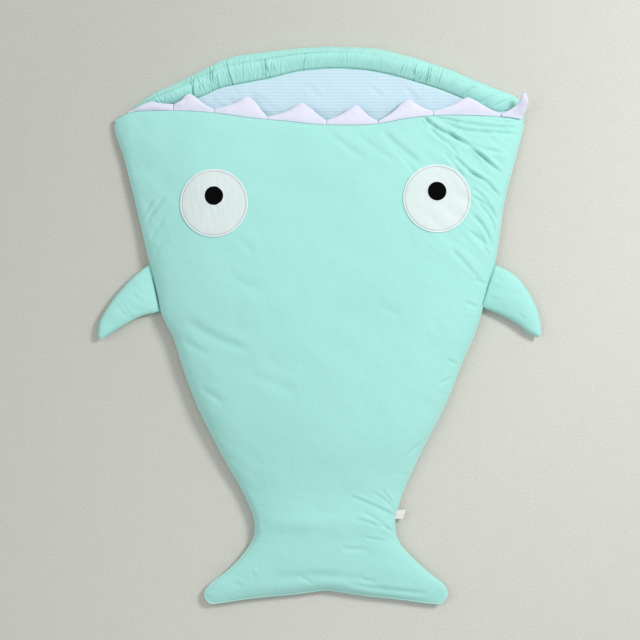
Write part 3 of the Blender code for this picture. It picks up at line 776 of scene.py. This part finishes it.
def gathers(x_here, flat):
    """How deep the bunched gathers cut the rim, and how far they pull its outer edge in."""
    cut, pulled = 0.0, 0.0
    rng = np.random.default_rng(57)
    for at, half, many, deep in BUNCHES:
        for _ in range(many):
            where = at + half * rng.uniform(-1.0, 1.0)
            width = rng.uniform(0.9, 1.7) / 1000
            lean = rng.uniform(-0.010, 0.014)
            start = rng.uniform(-0.25, 0.30)
            end = rng.uniform(0.55, 1.10)
            depth = deep * rng.uniform(0.45, 1.0) / 1000
            off = (x_here[:, None] - where - lean * (flat - 0.3)) / width
            reach = step(start, start + 0.2, flat) * (1.0 - step(end - 0.25, end, flat))
            groove = np.exp(-(off**2)) - 0.5 * np.exp(-(((np.abs(off) - 1.7) / 0.8) ** 2))
            cut = cut + depth * groove * reach
            if end > 0.9:
                off = (x_here - where - 0.7 * lean) / width
                pulled = pulled + 0.4 * depth * np.exp(-(off**2))
    return cut, pulled


def add_rim(cloth):
    """The gathered roll round the hood's edge, grooved along its outer side."""
    count = RIM_RINGS
    outer, inner = smooth_line(RIM_OUTER, count), smooth_line(RIM_INNER, count)
    span = outer - inner
    wide = np.linalg.norm(span, axis=1)
    away = span / wide[:, None]
    share = np.linspace(0.0, 1.0, count)
    corner = step(0.0, 0.16, share) * step(1.0, 0.80, share)
    turn = turns(RIM_SIDES)
    flat = (0.5 - 0.5 * np.cos(turn)) * 0.55 + (1.0 - np.abs(turn / math.pi - 1.0)) * 0.45
    dome = np.maximum(np.sin(turn), 0.0) ** (0.62 - 0.27 * (1.0 - flat))
    above = (turn < math.pi) & (turn > 0.0)
    x_here = (outer[:, 0] + inner[:, 0]) / 2
    height = RIM_END + (RIM_TOP - RIM_BASE - RIM_END) * corner
    height = (height * (1.0 + 0.05 * noise(x_here, 0.0, 0.03, 51)))[:, None]
    from_outer = (1.0 - flat)[None, :] * wide[:, None]
    ridge = dome * height * (0.82 + 0.18 * step(0.0, 0.6, flat))
    ends = step(0.0, 0.04, share) * step(1.0, 0.9, share)
    ridge = grooved(ridge, height, dome, x_here, from_outer, ends)
    # Fine pleats all along
    arc = run_along(outer)[:, None]
    pleat = noise(arc + 0.25 * from_outer, 0.22 * from_outer + 2.0, 0.0060, 55)
    pleat = pleat + 0.6 * noise(arc - 0.3 * from_outer, 0.3 * from_outer, 0.0032, 56)
    smoother = 1.0 - 0.35 * step(-0.08, -0.04, x_here) - 0.45 * step(0.205, 0.225, x_here)
    ridge = ridge + 0.0006 * pleat * (smoother * corner)[:, None] * dome
    cut, pulled = gathers(x_here, flat)
    ridge = ridge - cut * dome**0.5
    reach_out = wide - 0.0008 - pulled + 0.7 * noise(x_here, 7.0, 0.022, 53) / 1000
    xy = inner[:, None, :] + away[:, None, :] * (flat * reach_out[:, None])[..., None]
    puff = 0.6 * noise(xy[..., 0], xy[..., 1], 0.018, 54) / 1000
    for points, depth in RIM_CREASES:
        puff += fold(xy[..., 0], xy[..., 1], points, depth / 1000, width=0.0020, side=0.5)
    top = RIM_BASE + RIM_SAG + np.maximum(ridge + puff * dome, 0.0)
    under = RIM_BASE + RIM_SAG * (1.0 + np.minimum(np.sin(turn), 0.0))
    z = np.where(above, top, under)
    rings = np.concatenate((xy, z[..., None]), axis=-1)
    piece = outward(tube("hood_rim", rings, False))
    settle(
        piece, cloth, bend=HOOD_BEND,
        replaces=("rim_filling", "rim_casing", "rim_filling_left", "rim_casing_left",
                  "rim_filling_right", "rim_casing_right"),
    )
    seam = np.column_stack((inner + away * 0.0004, 0.0162 - 0.006 * (1.0 - corner)))
    lip = lip_along("rim_seam", seam[35:-35:2], width=0.0018, height=0.0012)
    settle(lip, cloth, bend=HOOD_BEND)


def hem_line(x):
    """y of the mouth's edge."""
    return MOUTH_Y + hem_offset(x) - mouth_dip(x)


def add_teeth(cloth):
    """Flat padded teeth standing up from the mouth's edge; their roots meet in one white strip."""
    share = np.concatenate((np.linspace(0.0, 0.04, 4)[:-1], np.linspace(0.04, 1.0, 44)))
    across = np.sin(np.linspace(-1.0, 1.0, 31) * math.pi / 2)
    r, c = np.meshgrid(share, across, indexing="ij")
    lefts, rights = [tooth[0] for tooth in TEETH], [tooth[1] for tooth in TEETH]
    for number, (left, right, tip, tip_z, bend, full) in enumerate(TEETH, start=1):
        if number > 1:
            left = (rights[number - 2] + left) / 2 + TOOTH_GAP
        if number < len(TEETH):
            right = (right + lefts[number]) / 2 - TOOTH_GAP
        nearer = (CAMERA_HIGH + SEAM_Z - tip_z) / CAMERA_HIGH
        tip = (CAMERA_X + (tip[0] - CAMERA_X) * nearer, CAMERA_Y + (tip[1] - CAMERA_Y) * nearer)
        middle = (left + right) / 2
        root_x = left + (right - left) * (c + 1.0) / 2
        root_y = hem_line(root_x) + 0.0002
        centre_root = float(hem_line(np.array(middle))) + 0.0002
        tall = tip[1] - centre_root
        power = 1.0 / (0.6 + 0.4 * full)
        sides = []
        for valley in VALLEYS[number - 1:number + 1]:
            base = (valley / 1000 / tall) ** (1.0 / power)
            sides.append(unit((r - base) / (1.0 - base)))
        narrow = [
            1.0 - (1.0 - rise) ** 1.12 * (1.0 - 0.08 * np.sin(rise * math.pi)) for rise in sides
        ]
        blunt = [0.0034 * np.sqrt(1.0 - rise**6) * step(0.3, 0.9, rise) for rise in sides]
        low_x = left + (tip[0] - left) * narrow[0] - blunt[0]
        high_x = right + (tip[0] - right) * narrow[1] + blunt[1]
        low_x = low_x + bend * np.sin(sides[0] * math.pi)
        high_x = high_x + bend * np.sin(sides[1] * math.pi)
        x = low_x + (high_x - low_x) * (c + 1.0) / 2
        at_root = np.where(c < 0.0, 1.0 - sides[0], 1.0 - sides[1]) ** 1.5
        y = centre_root + tall * r**power + (root_y - centre_root) * at_root
        z = np.interp(np.abs(x), ROOT_X, ROOT_HIGH)
        z = z + (tip_z - z) * step(0.0, 1.0, r) + 0.0022 * np.sin(r * math.pi) * (1 - c**2)
        if number < len(TEETH):
            z = np.maximum(z, ROOT_LEAST)
        else:
            z = z + 0.0028 * (1.0 - step(left, right, x)) * (1.0 - r)
        soft = 0.0007 * noise(x, y, 0.013, 60 + number)
        near_root = 1.0 - step(0.05, 0.45, r)
        swell = np.sqrt(unit(1.0 - np.abs(c) ** (3.0 + 50.0 * near_root)))
        swell = swell * (1.0 - 0.6 * near_root * c**6)
        swell = swell * (0.45 + 0.55 * np.sin(r * math.pi) ** 0.7)
        swell = swell * rounded(1.0 - r, 0.10) * rounded(r, 0.03)
        thick = TOOTH_HALF * swell
        piece = pad(f"tooth_{number}_cloth", x, y, z + thick + soft * swell, z - thick * 0.75)
        outward(piece)
        settle(
            piece, cloth, body=f"tooth_{number}_flap",
            replaces=(f"tooth_{number}",),
        )


def on_front(centre, radius, count, above):
    """A circle lying over the front panel."""
    turn = turns(count)
    x = centre[0] + radius * np.cos(turn)
    y = centre[1] + radius * np.sin(turn)
    return np.stack((x, y, front_height(x, y) + above), axis=-1)


def disc(name, centre, radius, above, crown, thickness, wrinkle=0.0, rings=22):
    """A soft disc lying on the front panel."""
    count = 96
    share = np.concatenate((np.linspace(0.0, 0.9, rings)[1:], (0.94, 0.97, 0.99, 1.0)))
    s, t = np.meshgrid(share, turns(count), indexing="ij")
    x = centre[0] + radius * s * np.cos(t)
    y = centre[1] + radius * s * np.sin(t)
    rest = front_height(x, y) + above
    edge = np.sqrt(unit(1.0 - s**14))
    slack = 0.45 * noise(x, y * 0.22, 0.008, 81) + 0.35 * noise(x, y, 0.020, 82)
    top = rest + thickness * edge + (crown + slack * crown) * (1.0 - s**2)
    top = top + wrinkle * (1.0 + noise(x + 0.15 * y, y * 0.16, 0.0055, 83)) * (1.0 - s**6)
    middle = front_height(np.array((centre[0],)), np.array((centre[1],)))[0] + above
    points = [(centre[0], centre[1], middle + thickness + crown)]
    points += np.stack((x, y, top), axis=-1).reshape(-1, 3).tolist()
    low = len(points)
    points += [(centre[0], centre[1], middle)]
    points += np.stack((x, y, rest), axis=-1)[:-1].reshape(-1, 3).tolist()
    faces = []
    total = len(share)
    for base, flip in ((0, False), (low, True)):
        for k in range(count):
            after = (k + 1) % count
            one = (base, base + 1 + k, base + 1 + after)
            faces.append(one[::-1] if flip else one)
            for ring in range(total - 1):
                a = base + 1 + ring * count
                b = base + 1 + (ring + 1) * count
                if flip and ring == total - 2:
                    b = 1 + (total - 1) * count
                four = (a + k, b + k, b + after, a + after)
                faces.append(four[::-1] if flip else four)
    return new_object(name, np.array(points), faces)


def add_ring(name, material, centre, radius, count, above, width, height):
    """Stitches in a circle on the front panel."""
    ring = lip_along(name, on_front(centre, radius, count, above), width, height, closed=True)
    settle(ring, material, body="trunk")


def add_eyes(white, black, satin, thread):
    """The eyes and the pupils, each with the stitches round it."""
    for side, centre in EYES.items():
        wrinkle = 0.0004 if side == "left" else 0.0001
        radius = EYE_RADIUS - 0.0012
        patch = disc(f"eye_{side}_white", centre, radius, above=0.0008, crown=0.0006,
                     thickness=0.0010, wrinkle=wrinkle)
        settle(patch, white, body="trunk", replaces=(f"eye_white_{side}",))
        add_ring(f"eye_{side}_satin", satin, centre, radius, count=320, above=0.0012,
                 width=0.0028, height=0.0016)
        add_ring(f"eye_{side}_stitches", thread, centre, radius - 0.0025, count=320, above=0.0020,
                 width=0.0008, height=0.0005)
        seat = (centre[0], centre[1] + PUPIL_RISE)
        pupil = disc(f"pupil_{side}_felt", seat, PUPIL_RADIUS, above=0.0024, crown=0.0007,
                     thickness=0.0012, rings=9)
        settle(pupil, black, body="trunk", replaces=(f"pupil_{side}",))
        add_ring(f"pupil_{side}_edge", satin, seat, PUPIL_RADIUS + 0.0009, count=140,
                 above=0.0026, width=0.0018, height=0.0012)


# Each fin: its two edges from root to tip, half thickness, noise seed, creases and their size
FINS = {
    "left": {
        "lead": ((-0.2885, 0.1020), (-0.3129, 0.0830), (-0.3402, 0.0552), (-0.3606, 0.0279),
                 (-0.3745, 0.0006), (-0.3768, -0.0225)),
        "trail": ((-0.2722, 0.0222), (-0.3000, 0.0168), (-0.3316, 0.0010), (-0.3555, -0.0135),
                  (-0.3690, -0.0225), (-0.3745, -0.0255)),
        "full": 0.010,
        "seed": 71,
        "creases": (((-0.3474, 0.0360), (-0.3244, 0.0090)), ((-0.3404, 0.0394), (-0.3172, 0.0090)),
                    ((-0.318, 0.052), (-0.306, 0.040))),
        "crease": (0.0011, 0.0022),
    },
    "right": {
        "lead": ((0.2980, 0.1012), (0.3316, 0.0835), (0.3548, 0.0552), (0.3684, 0.0279),
                 (0.3755, 0.0006), (0.3765, -0.0195)),
        "trail": ((0.2755, 0.0313), (0.3146, 0.0142), (0.3384, 0.0006), (0.3565, -0.0130),
                  (0.3690, -0.0200), (0.3740, -0.0230)),
        "full": 0.0118,
        "seed": 72,
        "creases": (((0.300, 0.080), (0.318, 0.066)), ((0.290, 0.045), (0.312, 0.040)),
                    ((0.335, 0.020), (0.350, 0.008))),
        "crease": (0.0008, 0.0026),
    },
}


def add_fins(cloth):
    """The stuffed side fins, each with the lip of its seam."""
    along = np.concatenate((np.linspace(0.0, 0.93, 52), (0.95, 0.965, 0.978, 0.988, 0.995, 1.0)))
    c = (1.0 - np.cos(np.linspace(0.0, math.pi, 35))) / 2
    dome = np.sqrt(unit(1.0 - (2.0 * c - 1.0) ** 2)) ** 0.9
    swell = np.interp(along, (0.0, 0.05, 0.16, 0.35, 0.65, 0.9, 0.97, 1.0),
                      (0.38, 0.55, 0.85, 1.0, 0.82, 0.5, 0.3, 0.0))[:, None]
    count = 240
    for side, shape in FINS.items():
        lead, trail = smooth_line(shape["lead"], count), smooth_line(shape["trail"], count)
        a, b = (picked(along * (count - 1), np.arange(count), edge) for edge in (lead, trail))
        xy = a[:, None, :] + (b - a)[:, None, :] * c[None, :, None]
        x, y = xy[..., 0], xy[..., 1]
        lift = shape["full"] * swell * dome
        wrinkle = 0.0007 * noise(x * 0.6 + y, y * 0.6, 0.016, shape["seed"]) * dome
        for points in shape["creases"]:
            wrinkle += fold(x, y, points, *shape["crease"], side=0.4)
        top = np.maximum(SEAM_Z + lift + wrinkle * (swell > 0.2), SEAM_Z)
        piece = outward(pad(f"fin_{side}_cloth", x, y, top, SEAM_Z - lift))
        sign = -1.0 if side == "left" else 1.0
        start = (0.2825 * sign, 0.063, SEAM_Z)
        end = (0.2985 * sign, 0.058, SEAM_Z)
        bend = ("trunk", f"fin_{side}", start, end)
        names = (f"fin_{side}_upper", f"fin_{side}_filling", f"fin_{side}_lower")
        settle(piece, cloth, bend=bend, replaces=names)
        edge = np.concatenate((lead[6:], trail[::-1][:-6]))
        line = np.column_stack((edge, np.full(len(edge), SEAM_Z)))
        line = smooth_line(line[::12], 150)
        lip = lip_along(f"fin_{side}_seam", line, width=0.0020, height=0.0016)
        settle(lip, cloth, bend=bend)


def add_side_seams(cloth):
    """The thin lip where the front and the back are sewn together, right round from the mouth."""
    rows = np.concatenate((np.linspace(0.350, -0.462, 300), np.linspace(-0.4632, TAIL_END_Y, 14)))
    across = np.linspace(-0.985, 0.985, 160)
    parts = []
    for sign in (-1.0, 1.0):
        x, y = plan_of(np.full(rows.shape, sign), rows)
        side = np.stack((x + sign * 0.0004, y, seam_z(rows)), axis=-1)
        parts.append(side if sign < 0 else side[::-1])
    x, y = plan_of(across, np.full(across.shape, TAIL_END_Y))
    foot = np.stack((x, y - 0.0004, np.full(x.shape, SEAM_Z)), axis=-1)
    line = np.concatenate((parts[0], foot, parts[1]))
    for _ in range(3):
        line[1:-1] = (line[:-2] + 2.0 * line[1:-1] + line[2:]) / 4.0
    run = run_along(line)
    line = picked(np.linspace(0.0, run[-1], 760), run, line)
    lip = lip_along("side_seam", line, width=0.0032, height=0.0018)
    settle(lip, cloth, bend=TAIL_BEND)


def add_label(tape):
    """A blank folded tape sewn into the side seam."""
    s, t = np.meshgrid(np.linspace(0.0, 1.0, 26), np.linspace(0.0, 1.0, 22), indexing="ij")
    y = LABEL_Y - LABEL_SIZE[1] * s
    x = middle_x(y) + half_width(y) + 0.0002 + LABEL_SIZE[0] * t + 0.0006 * np.sin(s * 5.0)
    z = SEAM_Z + 0.0004 * np.sin(s * 3.0 + t * 2.0) - 0.0028 * t**2
    edge = rounded(np.minimum(s, 1.0 - s), 0.05) * rounded(1.0 - t, 0.08) * rounded(t, 0.02)
    piece = outward(pad("care_tape", x, y, z + 0.0009 * edge, z - 0.0009 * edge))
    settle(piece, tape, body="trunk", replaces=("care_label",))


# ---------------- materials

WAVE_SCALE = 0.314  # scale of the wave texture that gives one band to the metre
STRIPE_PITCH = 0.0054
MINT = (0.410, 0.800, 0.735, 1.0)
MINT_SHADE = (0.360, 0.745, 0.675, 1.0)
TO = ("To Min", "To Max")
FROM = ("From Min", "From Max")


def graph(name):
    """A new material, its node tree and its shader."""
    material = bpy.data.materials.new(name)
    material.use_nodes = True
    tree = material.node_tree
    return material, tree, tree.nodes["Principled BSDF"]


def feed(tree, target, inputs):
    """Sets the inputs of a node to values, or links them to sockets."""
    for key, value in inputs.items():
        if isinstance(value, bpy.types.NodeSocket):
            tree.links.new(value, target.inputs[key])
        else:
            target.inputs[key].default_value = value


def node(tree, kind, inputs, **settings):
    """A new node of that kind."""
    made = tree.nodes.new(kind)
    for key, value in settings.items():
        setattr(made, key, value)
    feed(tree, made, inputs)
    return made


def place_of(tree, *scale):
    """Where the cloth was at rest, scaled by one number or by three."""
    attribute = node(tree, "ShaderNodeAttribute", {}, attribute_name="cloth_place")
    scale = scale if len(scale) == 3 else scale * 3
    made = node(tree, "ShaderNodeMapping", {"Vector": attribute.outputs["Vector"], "Scale": scale})
    return made.outputs["Vector"]


def speckle(tree, place, detail, roughness, scale=1.0):
    """Noise, from 0 to 1."""
    inputs = {"Vector": place, "Scale": scale, "Detail": detail, "Roughness": roughness}
    return node(tree, "ShaderNodeTexNoise", inputs).outputs["Fac"]


def bands(tree, direction, pitch, distortion, detail, detail_scale):
    """Parallel bands that far apart, from 0 to 1."""
    made = node(tree, "ShaderNodeTexWave", {
        "Vector": place_of(tree, WAVE_SCALE / pitch), "Scale": 1.0, "Distortion": distortion,
        "Detail": detail, "Detail Scale": detail_scale,
    }, wave_type="BANDS", bands_direction=direction)
    return made.outputs["Fac"]


def ranged(tree, value, low, high, ends):
    """A value mapped to a range, or from one."""
    inputs = {"Value": value, ends[0]: low, ends[1]: high}
    return node(tree, "ShaderNodeMapRange", inputs).outputs["Result"]


def raised(tree, height, strength, distance, **under):
    """A bump's normal."""
    inputs = {"Height": height, "Strength": strength, "Distance": distance, **under}
    return node(tree, "ShaderNodeBump", inputs).outputs["Normal"]


def mix(tree, factor, first, second, blend="MIX"):
    """Two colours mixed."""
    inputs = {0: factor, 6: first, 7: second}
    made = node(tree, "ShaderNodeMix", {}, data_type="RGBA", blend_type=blend)
    feed(tree, made, inputs)
    return made.outputs[2]


def cloth(name, colour, shade, pitch=0.0007, sheen=0.35, stripes=None, crinkle=0.35):
    """Woven cotton: two tones of the dye, slubs, a weave and a little crumpling."""
    material, tree, shader = graph(name)
    tone = mix(tree, speckle(tree, place_of(tree, 9.0), detail=3.0, roughness=0.55),
               shade, colour)
    if stripes:
        wave = bands(tree, "Y", STRIPE_PITCH, distortion=0.35, detail=0.0, detail_scale=0.2)
        ramp = node(tree, "ShaderNodeValToRGB", {"Fac": wave})
        ramp.color_ramp.elements[0].position = 0.42
        ramp.color_ramp.elements[1].position = 0.66
        tone = mix(tree, ramp.outputs["Color"], tone, stripes)
    slub = speckle(tree, place_of(tree, 700.0, 180.0, 300.0), detail=2.0, roughness=0.6)
    darker = tuple(c * 0.86 for c in shade[:3]) + (1.0,)
    small = speckle(tree, place_of(tree, 95.0), detail=4.0, roughness=0.6)
    crumple = raised(tree, small, strength=crinkle, distance=0.0012)
    warp, weft = (
        bands(tree, way, pitch, distortion=0.6, detail=1.0, detail_scale=0.4) for way in "XY"
    )
    weave = node(tree, "ShaderNodeMath", {0: warp, 1: weft}, operation="MULTIPLY")
    feed(tree, shader, {
        "Base Color": mix(tree, ranged(tree, slub, 0.0, 0.12, TO), tone, darker),
        "Roughness": ranged(tree, slub, 0.80, 0.94, TO),
        "Normal": raised(tree, weave.outputs[0], strength=0.25, distance=0.00025, Normal=crumple),
        "Sheen Weight": sheen,
        "Sheen Roughness": 0.55,
        "Specular IOR Level": 0.15,
    })
    return material


def fibres(name, colour, shade, pitch, detail, roughness, strength, distance, surface):
    """Stitches or felt: fine fibres in two tones, standing up a little."""
    material, tree, shader = graph(name)
    fine = speckle(tree, place_of(tree, 1.0 / pitch), detail, roughness)
    feed(tree, shader, {
        "Base Color": mix(tree, fine, shade, colour),
        "Normal": raised(tree, fine, strength, distance),
        **surface,
    })
    return material


def stitches(name, colour, shade, pitch):
    """Satin stitches or sewing thread, with a soft shine."""
    return fibres(name, colour, shade, pitch, detail=2.0, roughness=0.5, strength=0.6,
                  distance=0.0003, surface={"Roughness": 0.55, "Sheen Weight": 0.2})


def felt(name, colour, shade):
    """Short matted fibres."""
    return fibres(name, colour, shade, 1.0 / 900.0, detail=6.0, roughness=0.75, strength=0.7,
                  distance=0.0004, surface={"Roughness": 0.95, "Specular IOR Level": 0.02})


def floor_material():
    """Plain paper, a little mottled, with painted shade darkening it away from the key lamp."""
    material, tree, shader = graph("floor_paper")
    place = node(tree, "ShaderNodeTexCoord", {}).outputs["Object"]
    grain = speckle(tree, place, detail=3.0, roughness=0.7, scale=380.0)
    grain = ranged(tree, grain, 0.30, 0.70, FROM)
    tone = mix(tree, grain, (0.545, 0.545, 0.495, 1.0), (0.730, 0.730, 0.675, 1.0))
    blot = speckle(tree, place, detail=4.0, roughness=0.6, scale=26.0)
    blot = ranged(tree, blot, 0.0, 0.40, TO)
    tone = mix(tree, blot, tone, (0.560, 0.555, 0.510, 1.0))
    # Painted shade: the paper's colour is darkened along a slant away from the key lamp.
    apart = node(tree, "ShaderNodeSeparateXYZ", {"Vector": place}).outputs
    slant = node(tree, "ShaderNodeMath", {0: apart["Y"], 1: -0.8, 2: apart["X"]},
                 operation="MULTIPLY_ADD")
    across = ranged(tree, slant.outputs[0], -0.80, 0.45, FROM)
    painted_lamp_falloff = mix(tree, across, (0.84, 0.845, 0.825, 1.0), (1.04, 1.04, 1.04, 1.0))
    feed(tree, shader, {
        "Base Color": mix(tree, 1.0, tone, painted_lamp_falloff, "MULTIPLY"),
        "Roughness": 0.9,
        "Specular IOR Level": 0.2,
    })
    return material


# ---------------- stage

# Each lamp: name, place, diameter and watts
LAMPS = (
    ("key", (2.15, 1.35, 2.3), 0.9, 69.5),
    ("fill", (-2.4, 0.6, 2.9), 3.0, 23.0),
)
LAMP_COLOUR = (1.0, 0.995, 0.985)
SKY = {"Color": (0.96, 0.98, 1.0, 1.0), "Strength": 0.56}
FLOOR = 3.0


def add_stage():
    """The floor, the lamps, the sky and the camera, which looks straight down."""
    scene = bpy.context.scene
    corners = ((-1, -1, 0), (1, -1, 0), (1, 1, 0), (-1, 1, 0))
    floor = new_object("floor", np.array(corners) * FLOOR, [(0, 1, 2, 3)])
    floor.data.materials.append(floor_material())
    for name, place, size, power in LAMPS:
        lamp = bpy.data.lights.new(name, "AREA")
        lamp.shape = "DISK"
        lamp.size = size
        lamp.energy = power
        lamp.color = LAMP_COLOUR
        made = bpy.data.objects.new(name, lamp)
        made.location = place
        aim = -np.array(place) / np.linalg.norm(place)
        made.rotation_mode = "QUATERNION"
        made.rotation_quaternion = Vector(aim).to_track_quat("-Z", "Y")
        scene.collection.objects.link(made)
    scene.world = bpy.data.worlds.new("studio")
    scene.world.use_nodes = True
    feed(scene.world.node_tree, scene.world.node_tree.nodes["Background"], SKY)
    camera = bpy.data.cameras.new("camera")
    camera.sensor_width = SENSOR
    camera.lens = SENSOR * CAMERA_HIGH / VIEW_WIDTH
    made = bpy.data.objects.new("camera", camera)
    made.location = (CAMERA_X, CAMERA_Y, CAMERA_HIGH + SEAM_Z)
    scene.collection.objects.link(made)
    scene.camera = made
    scene.view_settings.view_transform = "Standard"


# ---------------- the whole scene

mint = cloth("mint_cotton_weave", MINT, MINT_SHADE)
# The side seam's lip is a lighter mint than the panels: a painted highlight for light catching the
# seam's edge.
painted_highlight_mint = cloth("mint_cotton_painted_highlight", (0.50, 0.84, 0.775, 1.0), (0.45, 0.80, 0.73, 1.0))
striped = cloth("striped_cotton_weave", (0.555, 0.735, 0.845, 1.0), (0.525, 0.710, 0.825, 1.0),
                stripes=(0.612, 0.780, 0.868, 1.0), crinkle=0.45)
white = cloth("white_cotton_weave", (0.77, 0.77, 0.90, 1.0), (0.72, 0.72, 0.86, 1.0), sheen=0.2)
pale = cloth("eye_cotton_weave", (0.72, 0.81, 0.79, 1.0), (0.68, 0.78, 0.76, 1.0), sheen=0.2,
             crinkle=0.2)
black = felt("black_felt_fuzz", (0.004, 0.004, 0.0045, 1.0), (0.002, 0.002, 0.002, 1.0))
satin = stitches("white_satin_stitches", (0.80, 0.87, 0.88, 1.0), (0.70, 0.79, 0.80, 1.0), 0.0006)
grey = stitches("grey_thread", (0.56, 0.60, 0.68, 1.0), (0.46, 0.50, 0.58, 1.0), 0.0009)
tape = cloth("label_tape_weave", (0.82, 0.82, 0.79, 1.0), (0.76, 0.76, 0.73, 1.0), pitch=0.0005)

add_front(mint)
add_lower_back(mint)
add_upper_back(mint)
add_linings(striped)
add_rim(mint)
add_teeth(white)
add_eyes(pale, black, satin, grey)
add_fins(mint)
add_side_seams(painted_highlight_mint)
add_label(tape)
add_stage()
